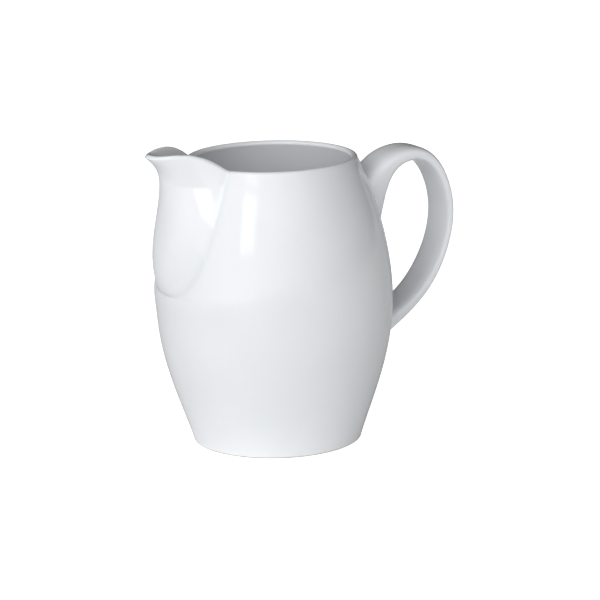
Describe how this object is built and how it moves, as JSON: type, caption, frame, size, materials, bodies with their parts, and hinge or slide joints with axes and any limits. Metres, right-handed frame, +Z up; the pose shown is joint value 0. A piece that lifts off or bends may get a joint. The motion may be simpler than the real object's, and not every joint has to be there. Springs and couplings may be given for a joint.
{
  "type": "ceramic pitcher",
  "caption": "Bellied white glazed pitcher with an applied beak spout and a flat strap handle, standing on a bare foot ring.",
  "frame": {"origin": "middle of the pitcher's length and width, on the surface it stands on", "axes": "+X from the spout towards the handle, +Z up, Y across; the pitcher is the same on both sides of Y = 0"},
  "size_m": [0.1908, 0.136, 0.1739],
  "materials": {
    "body_glaze": "glossy cool white glaze over thrown earthenware",
    "spout_glaze": "glossy cool white glaze over a pressed clay panel",
    "handle_glaze": "glossy cool white glaze over a pulled clay strap",
    "seam_glaze": "slip joint under the same white glaze",
    "bare_foot": "glaze on its outside, wiped bare and fired matt where it stands"
  },
  "bodies": {
    "root": {"body": "body_glaze", "spout": "spout_glaze", "handle": "handle_glaze", "foot_ring": "bare_foot", "spout_seam": "seam_glaze", "upper_handle_seam": "seam_glaze", "lower_handle_seam": "seam_glaze"}
  },
  "joints": []
}
